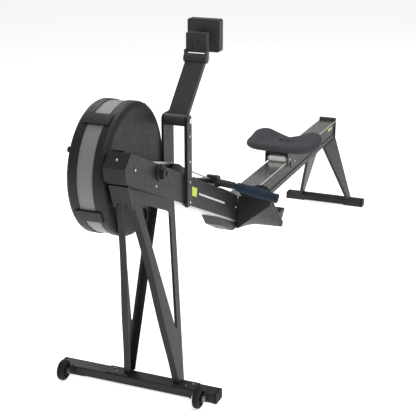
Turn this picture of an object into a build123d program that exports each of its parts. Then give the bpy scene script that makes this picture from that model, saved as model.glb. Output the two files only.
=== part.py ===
from build123d import *
from math import atan2, cos, degrees, hypot, pi, radians, sin, tan
import os

# Air rowing machine on tall legs, in millimetres.
# Working axes: X runs from the fan to the tail, Z is up, and Y = 0 is the plane of the rail and chain.
# X = 0 is the rear edge of the front foot and Z = 0 is the floor. The finished pieces are moved so
# that the row's origin is the middle of the bounding box's base.

# Feet
FOOT_LENGTH = 610.0
FOOT_DEPTH = 56.0
FOOT_TOP = 36.0
FOOT_OFFSET = 54.0
FOOT_WALL = 2.5
CAP_LENGTH = 12.0
PAD_HEIGHT = 4.0
REAR_FOOT_LENGTH = 420.0
REAR_FOOT_FRONT = 2129.0
REAR_FOOT_DEPTH = 53.0

# Transport wheels on the front foot
CASTER_RADIUS = 37.0
CASTER_WIDTH = 22.0
CASTER_X = -100.0
CASTER_Z = 41.0
CASTER_SPREAD = 258.0
CASTER_BOLT_RADIUS = 5.0

# Sloping main box: nose housing, aluminium channel and side panels
SLOPE = 24.4
BOX_TOP_AT_0 = 807.0
BOX_HEIGHT = 108.0
BOX_HALF = 38.0
SHEET = 2.5
NOSE_REAR = 190.0
BEAM_FRONT = 90.0
BEAM_REAR = 700.0
FLANGE_HEIGHT = 8.0
FLANGE_HALF = 38.0
CHANNEL_HALF = 35.2

# Flywheel and its cage, turning about an axis along Y
AXLE_X = -22.0
AXLE_Z = 790.0
AXLE_RADIUS = 8.5
RUNNING_GAP = 0.05
CAGE_RADIUS = 223.4
CAGE_NEAR = 48.0
CAGE_FACE = 185.0
SCREEN_NEAR = 84.0
SCREEN_FAR = 147.0
FAN_RADIUS = 202.0
FAN_BLADES = 24
VENTS = 10

# Chain and handle
CHAIN_ABOVE_BOX = 31.0
RETURN_DEPTH = 67.0
CHAIN_WIDTH = 8.0
CHAIN_HEIGHT = 7.0
CHAIN_FRONT = 252.0
CHAIN_REAR = 501.0
SPROCKET_RADIUS = 14.15
IDLER_RADIUS = 12.0
HANDLE_X = 535.0
HANDLE_Z = 594.0
CORE_HALF = 22.0
GRIP_RADIUS = 18.0
GRIP_START = (555.0, 75.0, 577.0)
GRIP_END = (606.0, 236.0, 529.0)

# Monitor posts, arm and monitor
POST_FRONT = 178.0
POST_REAR = 217.0
POST_WIDTH = 12.0
ARM_PIVOT = (197.0, 910.0)
ARM_TOP = (374.0, 1090.0)
ARM_HALF = 36.0
KNUCKLE_RADIUS = 20.0
MONITOR_BACK = 442.0
MONITOR_DEPTH = 34.0
MONITOR_HALF = 61.0
MONITOR_BOTTOM = 1102.0
MONITOR_TOP = 1217.0
BUTTON_COUNT = 3
BUTTON_TRAVEL = 1.5

# Rail and seat
RAIL_TOP = 454.0
TRACK_THICKNESS = 3.0
TRACK_HALF = 42.7
RAIL_HALF = 39.0
RAIL_BOTTOM = 362.0
RAIL_FRONT = 704.0
RAIL_REAR = 2160.0
SEAT_FRONT = 1298.0
SEAT_REAR = 1518.0
SEAT_HALF = 168.0
SEAT_UNDER = 500.0
SEAT_OVER = 540.0
ROLLER_RADIUS = 16.0
ROLLER_HALF = 37.0
ROLLER_X = (1322.0, 1478.0)
LOWER_ROLLER_RADIUS = 9.0

# Footrest
BOARD_TOP = (650.0, 543.0)
BOARD_BOTTOM = (890.0, 315.0)
BOARD_INNER = 50.0
BOARD_OUTER = 172.0
BOARD_THICKNESS = 10.0

SLOPE_RATIO = tan(radians(SLOPE))
RAIL_UNDERSIDE_GAP = 0.4


def box_top(x):
    """Height of the main box's upper edge at x."""
    return BOX_TOP_AT_0 - SLOPE_RATIO * x


def box_bottom(x):
    """Height of the main box's lower edge at x."""
    return box_top(x) - BOX_HEIGHT


def chain_height(x):
    """Height of the pulled chain's middle at x."""
    return box_top(x) + CHAIN_ABOVE_BOX


def block(x0, x1, y0, y1, z0, z1):
    """Box between two corners."""
    centre = Pos((x0 + x1) / 2, (y0 + y1) / 2, (z0 + z1) / 2)
    return centre * Box(x1 - x0, y1 - y0, z1 - z0)


def side_plate(points, y0, y1):
    """Outline in X and Z, extruded from y0 to y1."""
    plane = Plane(origin=(0, y1, 0), x_dir=(1, 0, 0), z_dir=(0, -1, 0))
    return extrude(plane * make_face(Polyline(*points, close=True)), amount=y1 - y0)


def rod(start, end, radius):
    """Round bar between two points."""
    a = Vector(*start)
    b = Vector(*end)
    plane = Plane(origin=a, z_dir=(b - a).normalized())
    return extrude(plane * Circle(radius), amount=(b - a).length)


def rod_y(x, z, y0, y1, radius):
    """Round bar along Y."""
    return rod((x, y0, z), (x, y1, z), radius)


def ring_y(x, z, y0, y1, outer, inner):
    """Ring whose axis runs along Y."""
    return rod_y(x, z, y0, y1, outer) - rod_y(x, z, y0 - 1, y1 + 1, inner)


def turned(profile):
    """Solid of revolution about the flywheel's axis, from (radius, y) points."""
    face = make_face(Polyline(*[(AXLE_X + r, y) for r, y in profile], close=True))
    axis = Axis((AXLE_X, 0, 0), (0, 1, 0))
    return Pos(0, 0, AXLE_Z) * revolve(face, axis=axis, revolution_arc=360)


def mirrored(shape):
    """The same piece on the far side of the rail."""
    return mirror(shape, about=Plane.XZ)


def screw(point, outward, radius=4.5, head=3.0):
    """Pan head that stands on a surface, seen from outside."""
    tip = Vector(*point) + Vector(*outward).normalized() * head
    return rod(point, tuple(tip), radius)


# Front foot, rear foot and transport wheels


def foot_tube(x0, x1, centre_y, length):
    """Rectangular tube lying across the machine."""
    half = length / 2 - CAP_LENGTH
    tube = block(x0, x1, centre_y - half, centre_y + half, PAD_HEIGHT, FOOT_TOP)
    tube = fillet(tube.edges().filter_by(Axis.Y), 4)
    bore = block(x0 + FOOT_WALL, x1 - FOOT_WALL, centre_y - half - 1, centre_y + half + 1,
                 PAD_HEIGHT + FOOT_WALL, FOOT_TOP - FOOT_WALL)
    return tube - bore


def foot_caps(x0, x1, centre_y, length):
    """Moulded end caps, each with a tongue under the tube that the foot stands on."""
    caps = []
    for side in (-1, 1):
        outer = centre_y + side * length / 2
        inner = outer - side * CAP_LENGTH
        low, high = sorted((outer, inner))
        cap = block(x0, x1, low, high, 0, FOOT_TOP)
        cap = fillet(cap.edges().filter_by(Axis.Y), 4)
        low, high = sorted((inner, inner - side * 90))
        caps.append(cap + block(x0 + 5, x1 - 5, low, high, 0, PAD_HEIGHT))
    return caps


def caster_places():
    """Y of the middle of each transport wheel, near side first."""
    return (FOOT_OFFSET - CASTER_SPREAD, FOOT_OFFSET + CASTER_SPREAD)


def caster_bracket(y):
    """Two cheeks and a back plate, bolted to the front of the foot."""
    back = block(-FOOT_DEPTH - 5, -FOOT_DEPTH, y - 17, y + 17, 8, FOOT_TOP + 4)
    cheeks = [block(CASTER_X - 9, -FOOT_DEPTH - 5, y + s - 2, y + s + 2, CASTER_Z - 14, CASTER_Z + 9)
              for s in (-15, 15)]
    bores = rod_y(CASTER_X, CASTER_Z, y - 20, y + 20, CASTER_BOLT_RADIUS)
    return back + cheeks[0] + cheeks[1] - bores


def caster_wheel(y):
    """Solid wheel with a dished hub and a rounded tread."""
    half = CASTER_WIDTH / 2
    wheel = rod_y(CASTER_X, CASTER_Z, y - half, y + half, CASTER_RADIUS)
    wheel = fillet(wheel.edges(), 7)
    for side in (-1, 1):
        start, end = sorted((side * (half - 4) + y, side * (half + 1) + y))
        wheel -= ring_y(CASTER_X, CASTER_Z, start, end, 25, 11)
    return wheel - rod_y(CASTER_X, CASTER_Z, y - 20, y + 20, CASTER_BOLT_RADIUS + RUNNING_GAP)


def caster_axle(y):
    """Bolt through the cheeks and the wheel."""
    bolt = rod_y(CASTER_X, CASTER_Z, y - 22, y + 22, CASTER_BOLT_RADIUS)
    heads = rod_y(CASTER_X, CASTER_Z, y - 22, y - 17, 8) + rod_y(CASTER_X, CASTER_Z, y + 17, y + 22, 8)
    return bolt + heads


# Front legs: one folded triangular frame on each side, splayed outwards

LEG_DEPTH = 24.0
LEG_SHEET = 3.0
LEG_TILT = 6.1
LEG_HINGE_Z = 680.0


def leg_outline(inset):
    """Side view of a front leg, drawn in from its front and rear edges by the inset."""
    front_points = ((-268, 910), (-229, 804), (-183, 678), (-133, 493), (-88, 267), (-57, 140), (-37, 36),
                    (-32, 0))
    front_edge = Spline(*[(x + inset, z) for x, z in front_points])
    rear_edge = Polyline((-32 + inset, 0), (-inset, 0), (84 - inset, 640), (90 - inset, 910),
                         (-268 + inset, 910))
    return make_face([front_edge, rear_edge])


def front_leg():
    """Near leg: a side plate with a rounded window and flanges folded inwards along its edges."""
    inner_side = Plane(origin=(0, -BOX_HALF + LEG_DEPTH, 0), x_dir=(1, 0, 0), z_dir=(0, -1, 0))
    leg = extrude(inner_side * leg_outline(0), amount=LEG_DEPTH)
    pocket = extrude(inner_side.offset(-1) * leg_outline(LEG_SHEET), amount=LEG_DEPTH - LEG_SHEET + 1)
    leg -= pocket
    window = make_face(Polyline((-160, 727), (44, 634), (-2, 232), (-13, 232), close=True))
    window = fillet(window.vertices().sort_by(Axis.Y)[0:2], 5)
    window = fillet(window.vertices().sort_by(Axis.X)[-1], 30)
    window = fillet(window.vertices().sort_by(Axis.X)[0], 16)
    leg -= extrude(Plane(origin=(0, 10, 0), x_dir=(1, 0, 0), z_dir=(0, -1, 0)) * window, amount=80)
    leg = leg.rotate(Axis((0, -BOX_HALF, LEG_HINGE_Z), (1, 0, 0)), -LEG_TILT)
    leg -= side_plate([(-400, box_bottom(-400)), (300, box_bottom(300)), (300, 1100), (-400, 1100)], -400, 400)
    leg -= block(-400, 300, -400, 400, -100, FOOT_TOP)
    return leg - block(-400, 300, -1, 400, -100, 1200)


def leg_base_plate():
    """Plate welded to the near leg and screwed to the foot."""
    return block(-52, -4, -172, -84, FOOT_TOP, FOOT_TOP + 4)


def near_leg():
    """Near leg with its base plate."""
    plate = leg_base_plate()
    leg = front_leg() - plate
    return leg + plate


def leg_brace():
    """Plate across the front of both legs under the nose, arched below."""
    plate = side_plate([(-241, 803), (-232, 803), (-201, 718), (-210, 718)], -34, 34)
    plate -= block(-260, -180, -60, 60, 700, 722)
    arch = rod((-260, 0, 718), (-180, 0, 718), 26)
    return plate - arch


# Main box


def nose_outline(inset):
    """Outline of the nose, moved inwards by a sheet's thickness."""
    slope_inset = inset / cos(radians(SLOPE))
    rear = NOSE_REAR
    top_front = -222 + 0.35 * inset
    low_front = -245 + 0.9 * inset
    return [
        (top_front, box_top(top_front) - slope_inset),
        (-267 + inset * 1.1, 866 - 0.3 * inset),
        (-262 + inset, 824 + 0.4 * inset),
        (low_front, box_bottom(low_front) + slope_inset),
        (rear, box_bottom(rear) + slope_inset),
        (rear, box_top(rear) - slope_inset),
    ]


def nose_housing():
    """Welded sheet box, open on the near side and at its rear, with a slot for the chain."""
    shell = side_plate(nose_outline(0), -BOX_HALF + SHEET, BOX_HALF)
    shell -= side_plate(nose_outline(SHEET), -BOX_HALF - 1, BOX_HALF - SHEET)
    shell -= block(NOSE_REAR - 6, NOSE_REAR + 5, -BOX_HALF, BOX_HALF - SHEET, box_bottom(NOSE_REAR) + 4,
                   box_top(NOSE_REAR) - 3)
    shell -= rod_y(AXLE_X, AXLE_Z, 20, 60, 14)
    slot = [(-24, box_top(-24) - 9), (-24, box_top(-24) + 5), (NOSE_REAR + 5, box_top(NOSE_REAR) + 5),
            (NOSE_REAR + 5, box_top(NOSE_REAR) - 12)]
    return shell - side_plate(slot, -9, 9)


def nose_side_cover():
    """Flat cover over the near side of the nose."""
    return side_plate(nose_outline(0), -BOX_HALF, -BOX_HALF + SHEET - 0.1)


def axle_boss():
    """Round cap over the axle's near end, on the outside of the nose."""
    base = rod_y(AXLE_X, AXLE_Z, -BOX_HALF - 8, -BOX_HALF, 29)
    base = fillet(base.edges().group_by(Axis.Y)[0], 4)
    cap = rod_y(AXLE_X, AXLE_Z, -BOX_HALF - 24, -BOX_HALF - 2, 21)
    cap = fillet(cap.edges().group_by(Axis.Y)[0], 5)
    return base + cap - rod_y(AXLE_X, AXLE_Z, -BOX_HALF - 25, -BOX_HALF - 21, 9)


def cage_bracket():
    """Angle piece that ties the cage to the top of the nose."""
    base = [(x, box_top(x)) for x in (-165, -55)]
    lip = [(x, z + 12) for x, z in reversed(base)]
    return side_plate(base + lip, 14, CAGE_NEAR - 0.5)


def main_beam():
    """Rectangular tube with a wider lower flange and a pin for the return cord."""
    flange_points = [(BEAM_FRONT, box_bottom(BEAM_FRONT)), (BEAM_REAR - 8, box_bottom(BEAM_REAR - 8))]
    flange_points += [(x, z - FLANGE_HEIGHT) for x, z in reversed(flange_points)]
    flange = side_plate(flange_points, -FLANGE_HALF, FLANGE_HALF)
    front = NOSE_REAR + 1
    outer = [(front, box_bottom(front)), (BEAM_REAR, box_bottom(BEAM_REAR)),
             (BEAM_REAR, box_top(BEAM_REAR)), (front, box_top(front))]
    inner = [(front - 5, box_bottom(front - 5) + 4), (BEAM_REAR + 5, box_bottom(BEAM_REAR + 5) + 4),
             (BEAM_REAR + 5, box_top(BEAM_REAR + 5) - 3), (front - 5, box_top(front - 5) - 3)]
    tube = side_plate(outer, -CHANNEL_HALF, CHANNEL_HALF)
    tube -= side_plate(inner, -CHANNEL_HALF + 3, CHANNEL_HALF - 3)
    pin_x = BEAM_REAR - 6
    pin = rod_y(pin_x, box_top(pin_x) - RETURN_DEPTH, -CHANNEL_HALF + 2, CHANNEL_HALF - 2, 6)
    return flange + tube + pin


def side_panel():
    """Near cover along the channel."""
    front = NOSE_REAR + 1
    outline = [(front, box_bottom(front)), (BEAM_REAR, box_bottom(BEAM_REAR)),
               (BEAM_REAR, box_top(BEAM_REAR)), (front, box_top(front))]
    return side_plate(outline, -BOX_HALF, -CHANNEL_HALF - 0.1)


def top_tongue():
    """Bare strip with a rounded rear end, over the end of the tube."""
    front, rear = 545, 735
    strip = side_plate([(front, box_top(front)), (rear, box_top(rear)), (rear, box_top(rear) + 5),
                        (front, box_top(front) + 5)], -33, 33)
    rounded = block(front, rear - 33, -33, 33, 400, 600) + Pos(rear - 33, 0, 500) * Cylinder(33, 200)
    return strip & rounded


def handle_saddle():
    """Moulded rest for the handle's middle, with a lip in front of it."""
    points = [(494, box_top(494)), (544.5, box_top(544.5)), (544.5, box_top(544.5) + 4.8),
              (501, box_top(501) + 4.8), (500, box_top(500) + 13), (494, box_top(494) + 13)]
    return side_plate(points, -21, 21)


def rail_bracket():
    """Black bracket below the channel that carries the rail and the footrest."""
    under = FLANGE_HEIGHT
    outline = [(500, box_bottom(500) - under), (BEAM_REAR - 8, box_bottom(BEAM_REAR - 8) - under),
               (BEAM_REAR, RAIL_BOTTOM), (850, RAIL_BOTTOM), (850, RAIL_BOTTOM - 6), (700, 350),
               (656, 354), (540, 414)]
    pocket = [(546, 420), (BEAM_REAR - 12, 372), (BEAM_REAR - 4, 358), (660, 360)]
    return side_plate(outline, -34, 34) - side_plate(pocket, -30, 30)


# Flywheel, cage and damper


def cage_near_cover():
    """Dished black cover on the side of the main box."""
    profile = [(14, 48), (204, 48), (213, 51), (220, 56), (CAGE_RADIUS, 64), (CAGE_RADIUS, SCREEN_NEAR + 3),
               (CAGE_RADIUS - 3, SCREEN_NEAR + 3), (CAGE_RADIUS - 3, 66), (217, 60), (210, 55),
               (203, 51), (14, 51)]
    return turned(profile)


def cage_screen():
    """Perforated band around the fan."""
    outer = CAGE_RADIUS - 3.3
    return turned([(outer - 1.5, SCREEN_NEAR - 6), (outer, SCREEN_NEAR - 6), (outer, SCREEN_FAR + 6),
                   (outer - 1.5, SCREEN_FAR + 6)])


def vent(inner, outer, y0, y1, turn):
    """One wedge-shaped opening of the damper or the far cover."""
    half = 180 / VENTS / 2
    points = []
    for radius, side in ((inner, -1), (outer, -1), (outer, 1), (inner, 1)):
        angle = radians(turn + side * half)
        points.append((AXLE_X + radius * cos(angle), AXLE_Z + radius * sin(angle)))
    return side_plate(points, y0, y1)


def cage_far_cover():
    """Far side of the cage: rim, vented face and the outer bearing's hub."""
    face = CAGE_FACE
    profile = [(14, face - 19), (24, face - 19), (24, face - 3), (205, face - 3), (213, face - 7),
               (217, face - 11), (CAGE_RADIUS - 3, face - 17), (CAGE_RADIUS - 3, SCREEN_FAR - 3),
               (CAGE_RADIUS, SCREEN_FAR - 3), (CAGE_RADIUS, face - 13), (220, face - 6), (213, face - 2),
               (204, face), (14, face)]
    cover = turned(profile)
    for number in range(VENTS):
        cover -= vent(62, 132, CAGE_FACE - 10, CAGE_FACE + 5, number * 360 / VENTS)
    return cover


def damper_ring():
    """Turning shutter over the vents, with a lever to set it by."""
    front = CAGE_FACE + 0.4
    ring = ring_y(AXLE_X, AXLE_Z, front, front + 2, 140, 52)
    for number in range(VENTS):
        ring -= vent(64, 130, front - 5, front + 10, number * 360 / VENTS)
    angle = radians(150)
    reach = [(138, -9), (196, -6), (196, 6), (138, 9)]
    points = [(AXLE_X + r * cos(angle) - s * sin(angle), AXLE_Z + r * sin(angle) + s * cos(angle))
              for r, s in reach]
    lever = side_plate(points, front, front + 4.6)
    knob_x = AXLE_X + 190 * cos(angle)
    knob_z = AXLE_Z + 190 * sin(angle)
    return ring + lever + rod_y(knob_x, knob_z, front, front + 14, 10)


def rim_clips():
    """Moulded bridges that clamp the screen between the two rims."""
    clips = []
    for angle in (52, 122, 208, 284, 348):
        clip = ring_y(AXLE_X, AXLE_Z, SCREEN_NEAR - 14, SCREEN_FAR + 14, CAGE_RADIUS + 6, CAGE_RADIUS + 0.1)
        wedge_half = 5.5
        points = [(AXLE_X, AXLE_Z)]
        for side in (-1, 1):
            a = radians(angle + side * wedge_half)
            points.append((AXLE_X + 260 * cos(a), AXLE_Z + 260 * sin(a)))
        clips.append(clip & side_plate(points, 0, 220))
    return clips


def flywheel_fan():
    """Hub, back plate, blades and outer ring."""
    fan = turned([(AXLE_RADIUS, 58), (28, 58), (28, 64), (FAN_RADIUS, 64), (FAN_RADIUS, 67), (28, 67),
                  (28, 148), (AXLE_RADIUS, 148)])
    blade = block(AXLE_X + 70, AXLE_X + FAN_RADIUS - 0.5, 66, 140, AXLE_Z - 0.8, AXLE_Z + 0.8)
    axis = Axis((AXLE_X, 0, AXLE_Z), (0, 1, 0))
    blades = [blade.rotate(axis, number * 360 / FAN_BLADES) for number in range(FAN_BLADES)]
    hoop = ring_y(AXLE_X, AXLE_Z, 138, 142, FAN_RADIUS, FAN_RADIUS - 24)
    return fan + blades + hoop


def flywheel_axle():
    """Steel shaft with a collar, from the nose to the far hub."""
    return rod_y(AXLE_X, AXLE_Z, -30, CAGE_FACE - 3, AXLE_RADIUS) + rod_y(AXLE_X, AXLE_Z, 150, 156, 13)


def axle_bearings():
    """Two ball bearings, drawn as rings."""
    inner = AXLE_RADIUS + RUNNING_GAP
    return [ring_y(AXLE_X, AXLE_Z, 36, 50, 14, inner), ring_y(AXLE_X, AXLE_Z, CAGE_FACE - 18, CAGE_FACE - 4, 14, inner)]


def drive_sprocket():
    """Toothed sprocket with its one-way clutch, on the axle."""
    sprocket = ring_y(AXLE_X, AXLE_Z, -2.5, 2.5, SPROCKET_RADIUS - 1, AXLE_RADIUS + RUNNING_GAP)
    tooth = block(AXLE_X + SPROCKET_RADIUS - 2, AXLE_X + SPROCKET_RADIUS + 1, -2.5, 2.5, AXLE_Z - 1, AXLE_Z + 1)
    axis = Axis((AXLE_X, 0, AXLE_Z), (0, 1, 0))
    teeth = [tooth.rotate(axis, number * 360 / 14) for number in range(14)]
    clutch = ring_y(AXLE_X, AXLE_Z, 2.5, 24, 22, AXLE_RADIUS + RUNNING_GAP)
    return sprocket + teeth + clutch


# Chain, guide and handle


def band(x0, z0, x1, z1, height, half_width):
    """Flat strip in the chain's plane between two points."""
    angle = atan2(z1 - z0, x1 - x0)
    dx = -sin(angle) * height / 2
    dz = cos(angle) * height / 2
    points = [(x0 + dx, z0 + dz), (x1 + dx, z1 + dz), (x1 - dx, z1 - dz), (x0 - dx, z0 - dz)]
    return side_plate(points, -half_width, half_width)


def chain_guide():
    """Moulded hump between the posts that holds the idler."""
    front, rear = 128, 248
    outline = [(front, box_top(front) + 0.2), (rear, box_top(rear) + 0.2), (rear, chain_height(rear) - 6),
               (rear - 70, chain_height(rear - 70) + 4), (front + 22, chain_height(front + 22) - 8)]
    body = side_plate(outline, -18, 18)
    run = side_plate([(front - 5, box_top(front) - 5), (rear + 5, box_top(rear) - 5),
                      (rear + 5, chain_height(rear) + 30), (front - 5, chain_height(front) + 30)], -7, 7)
    pin_x, pin_z = idler_place()
    return body - run + rod_y(pin_x, pin_z, -12, 12, 4)


def idler_place():
    """Centre of the idler that the chain runs over."""
    x = 222.0
    drop = (IDLER_RADIUS + CHAIN_HEIGHT / 2 + 0.4) / cos(radians(SLOPE))
    return x, chain_height(x) - drop


def chain_idler():
    """Small grooved wheel under the chain."""
    x, z = idler_place()
    return ring_y(x, z, -6.5, 6.5, IDLER_RADIUS, 4 + RUNNING_GAP)


def feed_chain():
    """Chain between the idler and the sprocket, and its return run inside the box."""
    half = CHAIN_WIDTH / 2
    over = band(CHAIN_FRONT - 2, chain_height(CHAIN_FRONT - 2), 150, chain_height(150), CHAIN_HEIGHT, half)
    down = band(150, chain_height(150), AXLE_X + 12, AXLE_Z + SPROCKET_RADIUS + 11.5, CHAIN_HEIGHT, half)
    depth = RETURN_DEPTH
    back = band(AXLE_X + 2, AXLE_Z - SPROCKET_RADIUS - 11.5, 60, box_top(60) - depth, CHAIN_HEIGHT, half)
    tail = band(60, box_top(60) - depth, 470, box_top(470) - depth, CHAIN_HEIGHT, half)
    return [over + down, back + tail]


def return_cord():
    """Elastic cord that draws the chain home, anchored at the rear of the channel."""
    rear = BEAM_REAR - 12.2
    return rod((471.5, 0, box_top(471.5) - RETURN_DEPTH), (rear, 0, box_top(rear) - RETURN_DEPTH), 5)


def pull_chain():
    """Chain from the idler to the handle."""
    return band(CHAIN_FRONT, chain_height(CHAIN_FRONT), CHAIN_REAR, chain_height(CHAIN_REAR), CHAIN_HEIGHT,
                CHAIN_WIDTH / 2)


def handle_core():
    """Moulded middle of the handle with the chain's yoke, two arms and the bars inside the grips."""
    core = block(-20, 20, -CORE_HALF, CORE_HALF, -22, 22)
    core = fillet(core.edges().filter_by(Axis.Y), 12)
    core = Pos(HANDLE_X, 0, HANDLE_Z) * (Rot(0, SLOPE, 0) * core)
    yoke_front = CHAIN_REAR + 0.1
    core += rod((yoke_front, 0, chain_height(yoke_front)), (HANDLE_X - 5, 0, chain_height(HANDLE_X - 5)), 7)
    for side in (-1, 1):
        elbow = (GRIP_START[0], side * GRIP_START[1], GRIP_START[2])
        end = (GRIP_END[0], side * GRIP_END[1], GRIP_END[2])
        core += rod((HANDLE_X - 1, side * 12, HANDLE_Z - 3), elbow, 14)
        core += Pos(*elbow) * Sphere(14)
        core += rod(elbow, end, 11)
    return core


def handle_grips():
    """Rubber grips on the handle's bent ends."""
    start = Vector(GRIP_START[0], -GRIP_START[1], GRIP_START[2])
    end = Vector(GRIP_END[0], -GRIP_END[1], GRIP_END[2])
    step = (end - start).normalized()
    grip = rod(tuple(start + step * 15), tuple(end + step * 4), GRIP_RADIUS)
    grip = fillet(grip.edges(), 5)
    grip -= rod(tuple(start), tuple(end), 11)
    return [grip, mirrored(grip)]


# Monitor posts, arm and monitor


def post_near():
    """Upright on the near side of the box, rounded at the top."""
    post = block(POST_FRONT, POST_REAR, -BOX_HALF - POST_WIDTH, -BOX_HALF, 606, 930)
    post = fillet(post.edges().filter_by(Axis.Y).group_by(Axis.Z)[-1], 18)
    return post - rod_y(ARM_PIVOT[0], ARM_PIVOT[1], -60, 0, 6)


def post_far():
    """Wider upright between the box and the cage."""
    post = block(POST_FRONT, 262, BOX_HALF, BOX_HALF + 9, 640, 930)
    post = fillet(post.edges().filter_by(Axis.Y).group_by(Axis.Z)[-1], 18)
    return post - rod_y(ARM_PIVOT[0], ARM_PIVOT[1], 0, 60, 6)


def arm_pivot_bolt():
    """Bolt through both posts that the arm swings on."""
    x, z = ARM_PIVOT
    bolt = rod_y(x, z, -BOX_HALF - POST_WIDTH, BOX_HALF + 9, 6)
    return bolt + rod_y(x, z, -BOX_HALF - POST_WIDTH - 5, -BOX_HALF - POST_WIDTH, 10)


def monitor_arm():
    """Flat arm with a knuckle at the posts and a hinge tube at the monitor."""
    x0, z0 = ARM_PIVOT
    x1, z1 = ARM_TOP
    length = hypot(x1 - x0, z1 - z0)
    ux, uz = (x1 - x0) / length, (z1 - z0) / length
    nx, nz = -uz, ux
    low, high = -15, 3
    points = []
    for along, across in ((8, low), (length - 6, low), (length - 6, high), (8, high)):
        points.append((x0 + ux * along + nx * across, z0 + uz * along + nz * across))
    arm = side_plate(points, -ARM_HALF, ARM_HALF)
    arm += rod_y(x0, z0, -BOX_HALF + 0.5, BOX_HALF - 0.5, KNUCKLE_RADIUS)
    arm += rod_y(x1, z1, -ARM_HALF, ARM_HALF, 17)
    arm -= rod_y(x0, z0, -60, 60, 6 + RUNNING_GAP)
    return arm - rod_y(x1, z1, -60, 60, 6)


def monitor_hinge_pin():
    """Pin through the arm's hinge tube, with a flanged end."""
    x, z = ARM_TOP
    return rod_y(x, z, -ARM_HALF - 14, ARM_HALF + 8, 6)


def monitor_bracket():
    """Box behind the monitor with two ears on the hinge pin."""
    x, z = ARM_TOP
    shell = block(376, 400, -39, 39, z + 20, z + 88)
    shell = fillet(shell.edges().filter_by(Axis.X), 4)
    ears = None
    for side in (-1, 1):
        start, end = sorted((side * (ARM_HALF + 0.5), side * (ARM_HALF + 6.5)))
        ear = rod_y(x, z, start, end, 16) + block(x - 8, x + 16, start, end, z, z + 30)
        ears = ear if ears is None else ears + ear
    neck = block(400, MONITOR_BACK, -18, 30, z + 34, z + 76)
    boss = rod((370, 0, z + 52), (376, 0, z + 52), 8)
    return shell + ears + neck + boss - rod_y(x, z, -60, 60, 6 + RUNNING_GAP)


def button_places():
    """Height of each button's centre on the monitor's face, top first."""
    return [MONITOR_TOP - 30 - 27 * number for number in range(BUTTON_COUNT)]


def monitor_housing():
    """Monitor case with a window recess and button wells in its face."""
    face = MONITOR_BACK + MONITOR_DEPTH
    case = block(MONITOR_BACK, face, -MONITOR_HALF, MONITOR_HALF, MONITOR_BOTTOM, MONITOR_TOP)
    case = fillet(case.edges().filter_by(Axis.X), 8)
    case -= block(face - 3, face + 1, -24, 54, MONITOR_BOTTOM + 16, MONITOR_TOP - 14)
    for z in button_places():
        case -= block(face - 5, face + 1, -53.3, -36.7, z - 8.3, z + 8.3)
    return case


def monitor_screen():
    """Clear window over the display."""
    face = MONITOR_BACK + MONITOR_DEPTH
    return block(face - 3, face - 0.8, -23.9, 53.9, MONITOR_BOTTOM + 16.1, MONITOR_TOP - 14.1)


def monitor_button(z):
    """One rubber key, standing proud by more than its travel."""
    face = MONITOR_BACK + MONITOR_DEPTH
    key = block(face - 5 + BUTTON_TRAVEL + 0.3, face + 2.2, -53, -37, z - 8, z + 8)
    return fillet(key.edges().filter_by(Axis.X), 3)


# Rail, seat and footrest


def rail_beam():
    """Extruded beam with a shallow groove along each side."""
    beam = block(RAIL_FRONT, RAIL_REAR - 12, -RAIL_HALF, RAIL_HALF, RAIL_BOTTOM, RAIL_TOP - TRACK_THICKNESS)
    beam -= block(RAIL_FRONT - 1, RAIL_REAR, -RAIL_HALF + 7, RAIL_HALF - 7, RAIL_BOTTOM + 5, RAIL_TOP - 8)
    for side in (-1, 1):
        low, high = sorted((side * RAIL_HALF, side * (RAIL_HALF - 3)))
        beam -= block(RAIL_FRONT - 1, RAIL_REAR, low, high, RAIL_BOTTOM + 22, RAIL_BOTTOM + 62)
    return beam


def rail_track():
    """Stainless strip on top of the beam."""
    return block(RAIL_FRONT + 55, RAIL_REAR - 12, -TRACK_HALF, TRACK_HALF, RAIL_TOP - TRACK_THICKNESS, RAIL_TOP)


def rail_end_stop():
    """End cap with a lip above the track."""
    cap = block(RAIL_REAR - 12, RAIL_REAR, -TRACK_HALF, TRACK_HALF, RAIL_BOTTOM, RAIL_TOP)
    lip = block(RAIL_REAR - 22, RAIL_REAR, -TRACK_HALF, TRACK_HALF, RAIL_TOP, RAIL_TOP + 14)
    return cap + fillet(lip.edges().filter_by(Axis.Y).group_by(Axis.Z)[-1], 5)


def rail_front_stop():
    """Rubber bumper that the seat meets at the catch."""
    bumper = block(884, 900, -26, 26, RAIL_TOP, RAIL_TOP + 16)
    return fillet(bumper.edges().filter_by(Axis.Y).group_by(Axis.Z)[-1], 6)


def seat_pad():
    """Plain solid for the moulded seat."""
    pad = block(SEAT_FRONT, SEAT_REAR, -SEAT_HALF, SEAT_HALF, SEAT_UNDER, SEAT_OVER)
    return fillet(pad.edges().filter_by(Axis.Z), 55)


def seat_carriage():
    """Bent plate that carries the seat, the running rollers and the keeper rollers."""
    front, rear = ROLLER_X[0] - 22, ROLLER_X[1] + 22
    top = block(front, rear, -54, 54, SEAT_UNDER - 5, SEAT_UNDER)
    carriage = top
    for side in (-1, 1):
        low, high = sorted((side * 50, side * 54))
        carriage += block(front, rear, low, high, RAIL_TOP - 2, SEAT_UNDER - 5)
        carriage += block(front + 50, rear - 50, low, high, RAIL_TOP - 34, RAIL_TOP - 2)
    for x in ROLLER_X:
        carriage -= rod_y(x, RAIL_TOP + ROLLER_RADIUS, -60, 60, 5)
    middle = sum(ROLLER_X) / 2
    carriage -= rod_y(middle, keeper_height(), -60, 60, 4)
    return carriage


def keeper_height():
    """Height of the keeper rollers' axis, under the lips of the track."""
    return RAIL_TOP - TRACK_THICKNESS - LOWER_ROLLER_RADIUS - RAIL_UNDERSIDE_GAP


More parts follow.
